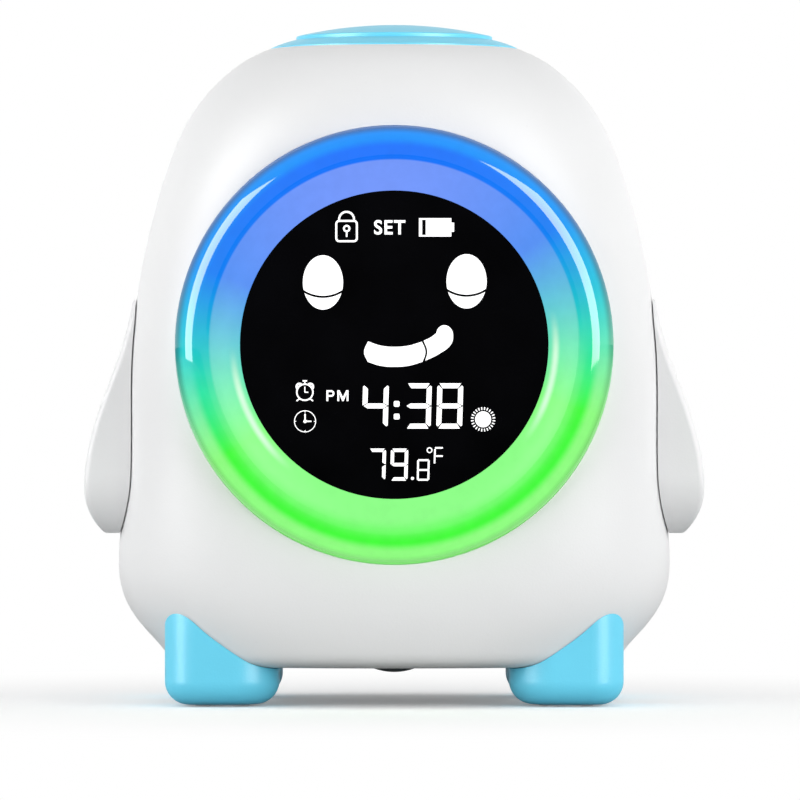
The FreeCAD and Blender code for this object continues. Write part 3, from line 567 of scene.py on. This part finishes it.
def digit(bm, text, left, bottom, size):
    # the seven segments follow from the digit's width, height, stroke and slant
    wide, high, stroke, slant = size
    middle, half = high / 2, stroke / 2
    inner, under = wide - stroke, high - stroke
    gap = stroke * 0.06
    corner = stroke * 0.42
    tip = stroke * 0.22
    top = [(corner, high), (wide - corner, high), (inner - gap, under), (stroke + gap, under)]
    upper = [
        (wide - stroke * 0.28, high - corner),
        (wide, high - corner * 1.6),
        (wide, middle + stroke * 0.08),
        (inner, middle + stroke * 0.62),
        (inner, under - gap * 2),
    ]
    centre = [
        (tip, middle), (stroke, middle + half), (inner, middle + half),
        (wide - tip, middle), (inner, middle - half), (stroke, middle - half),
    ]
    shapes = {
        "a": top,
        "b": upper,
        "c": [(x, high - z) for x, z in upper],
        "d": [(x, high - z) for x, z in top],
        "e": [(wide - x, high - z) for x, z in upper],
        "f": [(wide - x, z) for x, z in upper],
        "g": centre,
    }
    for letter in segmentsOf[text]:
        points = [(left + x + slant * z, bottom + z) for x, z in shapes[letter]]
        plateFace(bm, points, stroke * 0.07)


timeLook = {
    "digits": (("4", -6.30), ("3", 2.05), ("8", 8.16)),
    "bottom": -16.30,
    # width, height, stroke and slant
    "size": (5.02, 8.80, 0.97, 0.028),
    "colonX": 0.47,
    "colonHeights": (-11.49, -13.96),
    "colonSize": 1.13,
    "colonCorner": 0.28,
}

timeMesh = bmesh.new()
for text, left in timeLook["digits"]:
    digit(timeMesh, text, left, timeLook["bottom"], timeLook["size"])
x, reach = timeLook["colonX"], timeLook["colonSize"] / 2
for height in timeLook["colonHeights"]:
    boxFace(timeMesh, x - reach, height - reach, x + reach, height + reach, timeLook["colonCorner"])
finishMark(timeMesh, "timeDigits")

warmthLook = {
    "digits": (("7", -5.13), ("9", -0.82)),
    "bottom": -26.42,
    "size": (3.38, 6.24, 0.66, 0.028),
    "smallDigit": ("8", 4.38),
    "smallSize": (2.42, 4.16, 0.36, 0.02),
    "point": (3.54, -25.98),
    "pointRadius": 0.30,
    "degree": (6.86, -20.50),
    "degreeRadii": (0.36, 0.57),
    # the letter's left, bottom, width, height and stroke
    "unit": (7.72, -23.08, 1.72, 3.20, 0.32),
}

warmthMesh = bmesh.new()
for text, left in warmthLook["digits"]:
    digit(warmthMesh, text, left, warmthLook["bottom"], warmthLook["size"])
digit(warmthMesh, *warmthLook["smallDigit"], warmthLook["bottom"], warmthLook["smallSize"])
discFace(warmthMesh, warmthLook["point"], warmthLook["pointRadius"], 24)
fullRing(warmthMesh, warmthLook["degree"], *warmthLook["degreeRadii"], 24)
left, bottom, wide, high, stroke = warmthLook["unit"]
barBetween(warmthMesh, (left + 0.1, bottom), (left + 0.2, bottom + high - stroke * 1.2), stroke)
for start, z in ((0.2, bottom + high - stroke / 2), (0.4, bottom + high * 0.45)):
    barBetween(warmthMesh, (left + start, z), (left + wide, z), stroke)
finishMark(warmthMesh, "warmthDigits")
print("digits made")

eyeLook = {
    "centres": ((-13.86, 12.11), (14.06, 12.33)),
    "halfWidth": 3.91,
    "halfHeight": 5.29,
    "lidEdge": -1.55,
    "lidSag": 1.25,
    "lidWidth": 0.42,
    "lidReach": 1.02,
}

eyeMesh = bmesh.new()
for centre in eyeLook["centres"]:
    stretch = eyeLook["halfHeight"] / eyeLook["halfWidth"]
    discFace(eyeMesh, centre, eyeLook["halfWidth"], 72, stretch)
finishMark(eyeMesh, "eyes")

# the closed lid is a dark arc across each eye
lidMesh = bmesh.new()
half, sag = eyeLook["halfWidth"] * eyeLook["lidReach"], eyeLook["lidSag"]
radius = (half ** 2 + sag ** 2) / (2 * sag)
sweep = 2 * math.asin(half / radius)
inner, outer = radius - eyeLook["lidWidth"] / 2, radius + eyeLook["lidWidth"] / 2
for x, z in eyeLook["centres"]:
    centre = (x, z + eyeLook["lidEdge"] - sag + radius)
    sweptBand(lidMesh, centre, inner, outer, -math.pi / 2 - sweep / 2, sweep, 24)
finishMark(lidMesh, "eyeLids", material=finishes["window_black"],
           place=onDisplay(displayLook["markDepth"]))


standUp = Matrix.Rotation(math.pi / 2, 3, "X")


def curveMark(name, outlines):
    # each outline is a closed row of points: "A" is a smooth point and "V" a corner
    curve = bpy.data.curves.new(name, "CURVE")
    curve.dimensions = "2D"
    curve.fill_mode = "BOTH"
    curve.resolution_u = 12
    for outline in outlines:
        spline = curve.splines.new("BEZIER")
        spline.bezier_points.add(len(outline) - 1)
        spline.use_cyclic_u = True
        for point, (x, z, kind) in zip(spline.bezier_points, outline):
            point.co = (x, z, 0)
            point.handle_left_type = point.handle_right_type = "AUTO" if kind == "A" else "VECTOR"
    holder = bpy.data.objects.new(name + "Curve", curve)
    bpy.context.collection.objects.link(holder)
    bpy.context.view_layer.update()
    flat = bpy.data.meshes.new_from_object(holder)
    bpy.data.objects.remove(holder)
    bm = bmesh.new()
    bm.from_mesh(flat)
    bpy.data.meshes.remove(flat)
    bmesh.ops.rotate(bm, verts=bm.verts, cent=(0, 0, 0), matrix=standUp)
    return finishMark(bm, name)


smileLook = {
    "band": [
        (-5.11, 0.66, "V"), (-2.70, -0.14, "A"), (0.04, -0.40, "A"), (2.80, -0.16, "A"),
        (5.38, 0.60, "V"), (6.06, -1.40, "A"), (5.50, -3.32, "V"), (2.85, -4.08, "A"),
        (0.04, -4.30, "A"), (-2.75, -4.08, "A"), (-5.17, -3.32, "V"), (-5.87, -1.42, "A"),
    ],
    "end": [
        (5.72, 0.80, "V"), (7.00, 1.40, "A"), (8.11, 2.20, "V"), (8.62, 3.30, "A"),
        (9.76, 3.80, "A"), (11.00, 3.15, "A"), (11.45, 1.60, "A"), (11.05, 0.10, "A"),
        (8.70, -1.80, "A"), (6.02, -3.12, "V"), (6.42, -1.30, "A"),
    ],
}
curveMark("smile", [smileLook["band"], smileLook["end"]])
print("face made")

lockLook = {
    "centre": (-9.27, 22.10),
    "size": (4.38, 4.34),
    "stroke": 0.38,
    "corner": 0.75,
    "shackleRadius": 1.63,
    "shackleHeight": 24.40,
    "keyhole": (-9.25, 22.59),
    "keyholeRadii": (0.36, 0.72),
    "stemStart": 21.93,
    "stemEnd": 20.95,
    "stemWidth": 0.32,
}


def roundedFrame(bm, centre, size, stroke, corner):
    # a rounded plate whose middle is inset and then taken out
    x, z = centre
    halfWide, halfHigh = size[0] / 2, size[1] / 2
    known = set(bm.faces)
    boxFace(bm, x - halfWide, z - halfHigh, x + halfWide, z + halfHigh, corner)
    fresh = [face for face in bm.faces if face not in known]
    bmesh.ops.inset_region(bm, faces=fresh, thickness=stroke, use_even_offset=True,
                           use_boundary=True)
    bmesh.ops.delete(bm, geom=fresh, context="FACES_ONLY")


lockMesh = bmesh.new()
stroke, outer = lockLook["stroke"], lockLook["shackleRadius"]
roundedFrame(lockMesh, lockLook["centre"], lockLook["size"], stroke, lockLook["corner"])
x, z = lockLook["centre"]
sweptBand(lockMesh, (x, lockLook["shackleHeight"]), outer - stroke, outer, 0, math.pi, 24)
barTop, barFoot = lockLook["shackleHeight"] + 0.05, z + lockLook["size"][1] / 2 - 0.1
for side in (-1, 1):
    barX = x + side * (outer - stroke / 2)
    barBetween(lockMesh, (barX, barTop), (barX, barFoot), stroke)
fullRing(lockMesh, lockLook["keyhole"], *lockLook["keyholeRadii"], 24)
x = lockLook["keyhole"][0]
barBetween(lockMesh, (x, lockLook["stemStart"]), (x, lockLook["stemEnd"]), lockLook["stemWidth"])
finishMark(lockMesh, "lockMark")

batteryLook = {
    "left": 4.80,
    "right": 11.10,
    "bottom": 21.03,
    "top": 24.61,
    "emptyFrom": 5.42,
    "emptyTo": 6.12,
    "rim": 0.31,
    "nubEnd": 11.64,
    "nubBottom": 21.95,
    "nubTop": 23.74,
}

batteryMesh = bmesh.new()
look = batteryLook
boxFace(batteryMesh, look["emptyTo"], look["bottom"], look["right"], look["top"])
boxFace(batteryMesh, look["left"], look["bottom"], look["emptyFrom"], look["top"])
for low in (look["bottom"], look["top"] - look["rim"]):
    boxFace(batteryMesh, look["emptyFrom"], low, look["emptyTo"], low + look["rim"])
boxFace(batteryMesh, look["right"], look["nubBottom"], look["nubEnd"], look["nubTop"])
finishMark(batteryMesh, "batteryMark")

# hands and other bars are given from the mark's centre, with their width last
alarmLook = {
    "centre": (-17.38, -9.23),
    "radii": (1.42, 1.71),
    "hands": [((0, -0.06), (0, 1.1), 0.2), ((-0.06, 0), (0.68, 0), 0.2)],
    "bellTurn": 47,
    "bellPlace": 1.42,
    "bellRise": 0.12,
    "bellRadii": (0.35, 0.77),
    "bellSweep": 2.9,
    "foot": ((1.0, -1.25), (1.62, -1.72), 0.26),
    "knob": [((-0.45, 2.2), (0.45, 2.2), 0.28), ((0, 2.1), (0, 1.66), 0.24)],
}


def barsRound(bm, centre, bars):
    x, z = centre
    for (startX, startZ), (endX, endZ), width in bars:
        barBetween(bm, (x + startX, z + startZ), (x + endX, z + endZ), width)


alarmMesh = bmesh.new()
look = alarmLook
x, z = look["centre"]
fullRing(alarmMesh, (x, z), *look["radii"], 40)
barsRound(alarmMesh, (x, z), look["hands"])
for side in (-1, 1):
    bellAngle = math.radians(90 - side * look["bellTurn"])
    bellX = x + look["bellPlace"] * math.cos(bellAngle)
    bellZ = z + look["bellPlace"] * math.sin(bellAngle) + look["bellRise"]
    bellStart = bellAngle - look["bellSweep"] / 2
    sweptBand(alarmMesh, (bellX, bellZ), *look["bellRadii"], bellStart, look["bellSweep"], 16)
    (startX, startZ), (endX, endZ), width = look["foot"]
    barBetween(alarmMesh, (x + side * startX, z + startZ), (x + side * endX, z + endZ), width)
barsRound(alarmMesh, (x, z), look["knob"])
finishMark(alarmMesh, "alarmMark")

clockLook = {
    "centre": (-17.34, -14.89),
    "radii": (1.98, 2.14),
    "hub": 0.34,
    "hands": [((0, -0.2), (0, 1.5), 0.272), ((-0.15, 0), (1.25, 0), 0.272)],
    "tickFrom": 1.72,
    "tickTo": 2.0,
    "tickWidth": 0.14,
}

clockMesh = bmesh.new()
look = clockLook
fullRing(clockMesh, look["centre"], *look["radii"], 48)
barsRound(clockMesh, look["centre"], look["hands"])
discFace(clockMesh, look["centre"], look["hub"], 20)
for quarter in range(4):
    angle = quarter * math.pi / 2
    direction = Vector((math.cos(angle), math.sin(angle)))
    tick = (direction * look["tickFrom"], direction * look["tickTo"], look["tickWidth"])
    barsRound(clockMesh, look["centre"], [tick])
finishMark(clockMesh, "clockMark")

sunLook = {
    "centre": (17.28, -14.50),
    "disc": 1.56,
    "rays": 24,
    "rayStart": 1.83,
    "rayEnd": 2.38,
    "rayWidth": 0.25,
    "rayTaper": 0.75,
}

sunMesh = bmesh.new()
look = sunLook
middle = Vector(look["centre"])
discFace(sunMesh, look["centre"], look["disc"], 40)
for ray in range(look["rays"]):
    angle = math.tau * (ray + 0.5) / look["rays"]
    direction = Vector((math.cos(angle), math.sin(angle)))
    start = middle + direction * look["rayStart"]
    end = middle + direction * look["rayEnd"]
    side = Vector((-direction.y, direction.x)) * look["rayWidth"] / 2
    near = side * look["rayTaper"]
    plateFace(sunMesh, [start - near, start + near, end + side, end - side])
finishMark(sunMesh, "sunMark")

wordLook = {
    "words": "SET",
    "centre": (-0.88, 22.82),
    "size": (6.08, 2.86),
    "fatten": 0.022,
    "spacing": 1.12,
}


def wordMark(name, words, centre, size):
    # the built-in face, fattened a little, fitted into a width and a height
    text = bpy.data.curves.new(name, "FONT")
    text.body = words
    text.offset = wordLook["fatten"]
    text.space_character = wordLook["spacing"]
    holder = bpy.data.objects.new(name + "Text", text)
    bpy.context.collection.objects.link(holder)
    bpy.context.view_layer.update()
    flat = bpy.data.meshes.new_from_object(holder)
    bpy.data.objects.remove(holder)
    bm = bmesh.new()
    bm.from_mesh(flat)
    bpy.data.meshes.remove(flat)
    low = Vector((min(v.co.x for v in bm.verts), min(v.co.y for v in bm.verts), 0))
    high = Vector((max(v.co.x for v in bm.verts), max(v.co.y for v in bm.verts), 0))
    stretch = (size[0] / (high.x - low.x), size[1] / (high.y - low.y), 1)
    bmesh.ops.translate(bm, verts=bm.verts, vec=-(low + high) / 2)
    bmesh.ops.scale(bm, verts=bm.verts, vec=stretch)
    bmesh.ops.rotate(bm, verts=bm.verts, cent=(0, 0, 0), matrix=standUp)
    bmesh.ops.translate(bm, verts=bm.verts, vec=(centre[0], 0, centre[1]))
    return finishMark(bm, name)


wordMark("setMark", wordLook["words"], wordLook["centre"], wordLook["size"])

halfDayLook = {
    "left": -13.18,
    "bottom": -10.96,
    "high": 2.12,
    "stroke": 0.36,
    "bowlWide": 1.55,
    "bowlRadius": 0.636,
    "mLeft": 2.12,
    "mWide": 2.16,
}

halfDayMesh = bmesh.new()
look = halfDayLook
left, bottom, high, stroke = look["left"], look["bottom"], look["high"], look["stroke"]
bowlRadius = look["bowlRadius"]
boxFace(halfDayMesh, left, bottom, left + stroke, bottom + high)
bowlX = left + look["bowlWide"] - bowlRadius
bowlZ = bottom + high - bowlRadius
sweptBand(halfDayMesh, (bowlX, bowlZ), bowlRadius - stroke, bowlRadius, -math.pi / 2, math.pi, 16)
for low in (bottom + high - stroke, bottom + high - 2 * bowlRadius):
    boxFace(halfDayMesh, left + stroke, low, bowlX, low + stroke)
mLeft, wide, middle = left + look["mLeft"], look["mWide"], look["mWide"] / 2
mOutline = [
    (0, 0), (0, high), (stroke * 1.2, high), (middle, high * 0.36),
    (wide - stroke * 1.2, high), (wide, high), (wide, 0), (wide - stroke, 0),
    (wide - stroke, high * 0.70), (middle + stroke * 0.4, 0), (middle - stroke * 0.4, 0),
    (stroke, high * 0.70), (stroke, 0),
]
plateFace(halfDayMesh, [(mLeft + x, bottom + z) for x, z in mOutline])
finishMark(halfDayMesh, "halfDayMark")
print("display marks made")

# printed signs on the back: one on each key, and one at each end of the slide switch
keyPrintLook = {
    "colour": (0.9, 0.93, 0.95),
    "worn": 0.93,
    "patchScale": 1500.0,
    "roughness": 0.4,
    "glossBelow": 0.05,
    "glossAbove": 0.08,
    "faceDepth": 0.0416,
    "panelDepth": 0.0402,
    "places": {
        "alarm_key": (-0.0135, 0.081),
        "set_key": (0.0, 0.081),
        "light_key": (0.0135, 0.081),
        "down_key": (-0.0135, 0.069),
        "sound_key": (0.0, 0.069),
        "up_key": (0.0135, 0.069),
    },
    "switchPlace": (-0.0095, 0.058),
    "switchGap": 0.0052,
}


def makePrint():
    material, tree, shader = newMaterial("padPrint")
    look = keyPrintLook
    patch = noiseNode(tree, objectPlace(tree), look["patchScale"], 3)
    worn = shaded(look["colour"], look["worn"])
    colour = rampNode(tree, patch, [(0.35, worn), (0.6, look["colour"])])
    tree.links.new(colour, shader.inputs["Base Color"])
    cloudyGloss(tree, shader, patch, look["roughness"], look["glossBelow"], look["glossAbove"])
    return material


padPrint = makePrint()


def bellSign(bm):
    for side in (-1, 1):
        barBetween(bm, (side * 1.15, -0.9), (side * 0.95, 0.5), 0.34)
    sweptBand(bm, (0, 0.4), 0.78, 1.12, 0, math.pi, 20)
    barBetween(bm, (-1.75, -1.05), (1.75, -1.05), 0.34)
    discFace(bm, (0, -1.62), 0.34, 20)
    discFace(bm, (0, 1.72), 0.26, 20)


def clockSign(bm):
    fullRing(bm, (0, 0), 1.62, 1.95, 40)
    barBetween(bm, (0, -0.1), (0, 1.25), 0.3)
    barBetween(bm, (-0.1, 0), (0.95, 0), 0.3)


def lampSign(bm):
    discFace(bm, (0, 0), 0.85, 32)
    for ray in range(8):
        angle = math.tau * ray / 8
        direction = Vector((math.cos(angle), math.sin(angle)))
        barBetween(bm, direction * 1.25, direction * 1.95, 0.32)


def lessSign(bm):
    barBetween(bm, (-1.4, 0), (1.4, 0), 0.42)


def moreSign(bm):
    barBetween(bm, (-1.4, 0), (1.4, 0), 0.42)
    for side in (-1, 1):
        barBetween(bm, (0, side * 0.21), (0, side * 1.4), 0.42)


def soundSign(bm):
    plateFace(bm, [(-1.8, -0.5), (-1.1, -0.5), (-0.2, -1.3), (-0.2, 1.3), (-1.1, 0.5), (-1.8, 0.5)])
    for radius in (0.95, 1.75):
        sweptBand(bm, (-0.1, 0), radius - 0.3, radius, -0.75, 1.5, 12)


signs = {
    "alarm_key": bellSign,
    "set_key": clockSign,
    "light_key": lampSign,
    "down_key": lessSign,
    "sound_key": soundSign,
    "up_key": moreSign,
}
look = keyPrintLook
for key, drawSign in signs.items():
    x, z = look["places"][key]
    signMesh = bmesh.new()
    drawSign(signMesh)
    place = onBack(x, look["faceDepth"], z)
    finishMark(signMesh, key + "Sign", key, padPrint, place)

x, z = look["switchPlace"]
onMesh = bmesh.new()
barBetween(onMesh, (0, -0.9), (0, 0.9), 0.36)
onPlace = onBack(x - look["switchGap"], look["panelDepth"], z)
finishMark(onMesh, "onSign", "clock", finishes["inner_black"], onPlace)
offMesh = bmesh.new()
fullRing(offMesh, (0, 0), 0.58, 0.92)
offPlace = onBack(x + look["switchGap"], look["panelDepth"], z)
finishMark(offMesh, "offSign", "clock", finishes["inner_black"], offPlace)
print("signs on the back made")


studioLook = {
    "floorSize": 14.0,
    "grainScale": 30.0,
    "grainShade": 0.99,
    # the floor as the object meets it, and as the camera sees it
    "floorTone": 0.42,
    "seenTone": 1.0,
    "seenGlow": 0.15,
    # how far from the middle it starts to turn white, and where it is all white
    "whiteStart": 0.02,
    "whiteEnd": 0.17,
    "worldLevel": 0.36,
    "aimHeight": 0.07,
    # azimuths are counted from the front, positive to the right
    "sidePanel": {
        "azimuths": (-88, 88),
        "rise": 8,
        "away": 1.3,
        "size": (1.0, 1.0),
        "levels": (2.35, 2.6),
    },
    "frontPanel": {
        "azimuths": (-45, 45),
        "rise": 10,
        "away": 1.3,
        "size": (1.0, 0.7),
        "levels": (3.3, 3.6),
    },
    "backPanel": {
        "azimuths": (-150, 150),
        "rise": 5,
        "away": 1.3,
        "size": (0.9, 0.7),
        "levels": (1.7, 1.7),
    },
    "softbox": {
        "azimuths": (-62, 46),
        "rise": 20,
        "away": 1.1,
        "size": (0.62, 1.05),
        "levels": (19.0, 19.0),
    },
}


def makeFloor():
    # plain and pale; far from the object it turns into the white of the backdrop
    bm = bmesh.new()
    bmesh.ops.create_grid(bm, x_segments=2, y_segments=2, size=studioLook["floorSize"])
    mesh = bpy.data.meshes.new("floor")
    bm.to_mesh(mesh)
    bm.free()
    floor = bpy.data.objects.new("floor", mesh)
    bpy.context.collection.objects.link(floor)
    material, tree, shader = newMaterial("paleFloor")
    tree.nodes.remove(shader)
    output = tree.nodes["Material Output"]
    place = objectPlace(tree)
    grain = noiseNode(tree, place, studioLook["grainScale"], 3)
    rays = addNode(tree, "ShaderNodeLightPath")
    seen = rays.outputs["Is Camera Ray"]
    tone = rangeNode(tree, seen, 0.0, 1.0, studioLook["floorTone"], studioLook["seenTone"])
    shade = rangeNode(tree, grain, 0.3, 0.7, studioLook["grainShade"], 1.0)
    varied = mathNode(tree, "MULTIPLY", tone, shade)
    matt = addNode(tree, "ShaderNodeBsdfDiffuse", {"Color": varied})
    faint = mathNode(tree, "MULTIPLY", seen, studioLook["seenGlow"])
    glow = addNode(tree, "ShaderNodeEmission", {"Color": (1, 1, 1, 1), "Strength": faint})
    lifted = addNode(tree, "ShaderNodeAddShader", {0: matt.outputs[0], 1: glow.outputs[0]})
    white = addNode(tree, "ShaderNodeEmission", {"Color": (1, 1, 1, 1), "Strength": 1.0})
    away = addNode(tree, "ShaderNodeVectorMath", {0: place}, operation="LENGTH").outputs["Value"]
    far = rangeNode(tree, away, studioLook["whiteStart"], studioLook["whiteEnd"], smooth=True)
    layers = {0: mathNode(tree, "MULTIPLY", far, seen), 1: lifted.outputs[0], 2: white.outputs[0]}
    both = addNode(tree, "ShaderNodeMixShader", layers)
    tree.links.new(both.outputs[0], output.inputs[0])
    mesh.materials.append(material)


def makeWorld():
    # the object sees a dimmer sky than the camera, glossy surfaces and clear ones do
    world = bpy.data.worlds.new("studio")
    world.use_nodes = True
    bpy.context.scene.world = world
    tree = world.node_tree
    background = tree.nodes["Background"]
    rays = addNode(tree, "ShaderNodeLightPath")
    seen = mathNode(tree, "MAXIMUM", rays.outputs["Is Camera Ray"], rays.outputs["Is Glossy Ray"])
    seen = mathNode(tree, "MAXIMUM", seen, rays.outputs["Is Transmission Ray"])
    background.inputs["Color"].default_value = (1, 1, 1, 1)
    strength = rangeNode(tree, seen, 0.0, 1.0, studioLook["worldLevel"], 1.0)
    tree.links.new(strength, background.inputs["Strength"])


def areaLamp(name, place, size, level):
    # level is the lamp's brightness as seen, whatever its size
    lamp = bpy.data.lights.new(name, "AREA")
    lamp.shape = "RECTANGLE"
    lamp.size, lamp.size_y = size
    lamp.energy = level * math.pi * size[0] * size[1]
    holder = bpy.data.objects.new(name, lamp)
    bpy.context.collection.objects.link(holder)
    holder.location = place
    direction = Vector((0, 0, studioLook["aimHeight"])) - Vector(place)
    holder.rotation_euler = direction.to_track_quat("-Z", "Y").to_euler()
    return holder


def roundPlace(azimuth, rise, away):
    turn, lift = math.radians(azimuth), math.radians(rise)
    flat = away * math.cos(lift)
    height = studioLook["aimHeight"] + away * math.sin(lift)
    return (flat * math.sin(turn), -flat * math.cos(turn), height)


def makeLamps():
    # soft panels light the body, and two softboxes give the glossy ring its streaks
    for kind in ("sidePanel", "frontPanel", "backPanel", "softbox"):
        look = studioLook[kind]
        for side, azimuth, level in zip(("left", "right"), look["azimuths"], look["levels"]):
            place = roundPlace(azimuth, look["rise"], look["away"])
            name = side + kind[0].upper() + kind[1:]
            lamp = areaLamp(name, place, look["size"], level)
            lamp.visible_camera = False
            lamp.visible_diffuse = kind != "softbox"
            lamp.visible_glossy = kind == "softbox"


cameraLook = {
    "place": (0, -1.450, 0.0622),
    "lens": 326.25,
    "shift": (5.75 / 800, -10 / 800),
}


def makeCamera():
    data = bpy.data.cameras.new("camera")
    data.sensor_width = 36
    data.lens = cameraLook["lens"]
    data.shift_x, data.shift_y = cameraLook["shift"]
    data.clip_start = 0.05
    data.clip_end = 100
    camera = bpy.data.objects.new("camera", data)
    bpy.context.collection.objects.link(camera)
    camera.location = cameraLook["place"]
    camera.rotation_euler = (math.pi / 2, 0, 0)
    bpy.context.scene.camera = camera


makeFloor()
makeWorld()
makeLamps()
makeCamera()
bpy.context.scene.view_settings.view_transform = "Standard"
print("studio made")
